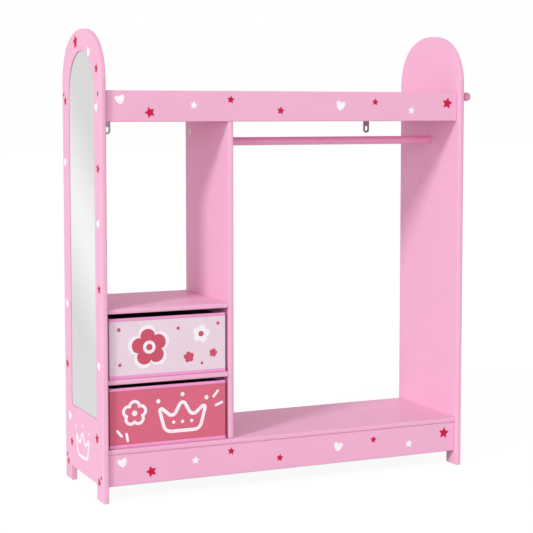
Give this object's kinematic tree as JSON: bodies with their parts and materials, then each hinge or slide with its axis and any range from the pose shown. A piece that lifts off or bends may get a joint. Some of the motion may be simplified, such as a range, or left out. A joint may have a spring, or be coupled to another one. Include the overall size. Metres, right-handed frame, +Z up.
{
  "type": "dress up storage unit with mirror",
  "caption": "Children's dress-up storage unit: hanging bay with rod, narrow bay with fabric boxes, top tray, side pegs and a mirror let into the arched left side panel.",
  "frame": {"origin": "on the floor, at the middle of the unit's bounding box, the pegs on the right side included", "axes": "+X to the right seen from the front, +Y from the front to the rear, +Z up"},
  "size_m": [0.9674, 0.294, 1.067],
  "materials": {
    "pink_board": "medium density fibreboard, satin pink lacquer with printed stars and hearts",
    "pink_turned_wood": "turned wood, pink lacquer",
    "mirror": "silvered acrylic sheet",
    "foam_tape": "foam tape",
    "zinc_steel": "zinc plated",
    "beech": "plain beech",
    "rose_grey_fabric": "printed non-woven fabric",
    "rose_fabric": "printed non-woven fabric",
    "binding_tape": "sewn binding tape",
    "black_lining": "non-woven fabric",
    "grey_card": "raw card"
  },
  "bodies": {
    "root": {"side_panel_left": "pink_board", "side_panel_right": "pink_board", "divider_panel": "pink_board", "top_shelf": "pink_board", "middle_shelf": "pink_board", "box_shelf": "pink_board", "base_shelf": "pink_board", "top_front_rail": "pink_board", "top_back_rail": "pink_board", "base_front_rail": "pink_board", "base_back_rail": "pink_board", "hanging_rod": "pink_turned_wood", "mirror_sheet": "mirror", "mirror_tape": "foam_tape", "peg_front": "pink_turned_wood", "peg_middle": "pink_turned_wood", "peg_rear": "pink_turned_wood", "peg_screws": "zinc_steel", "wall_bracket_left": "zinc_steel", "wall_bracket_right": "zinc_steel", "bracket_screws": "zinc_steel", "rail_screws_left": "zinc_steel", "rail_screws_right": "zinc_steel", "cam_locks": "zinc_steel", "cam_bolts": "zinc_steel", "wooden_dowels": "beech", "divider_base_screws": "zinc_steel"},
    "upper_box": {"box_upper_skin": "rose_grey_fabric", "box_upper_wall_cards": "grey_card", "box_upper_lining": "black_lining", "box_upper_floor_card": "black_lining", "box_upper_rim_binding": "binding_tape", "box_upper_base_binding": "binding_tape"},
    "lower_box": {"box_lower_skin": "rose_fabric", "box_lower_wall_cards": "grey_card", "box_lower_lining": "black_lining", "box_lower_floor_card": "black_lining", "box_lower_rim_binding": "binding_tape", "box_lower_base_binding": "binding_tape"}
  },
  "joints": [
    {"name": "upper_box_slide", "type": "slide", "parent": "root", "child": "upper_box", "axis": [0, -1, 0], "range_m": [0, 0.3]},
    {"name": "lower_box_slide", "type": "slide", "parent": "root", "child": "lower_box", "axis": [0, -1, 0], "range_m": [0, 0.3]}
  ]
}
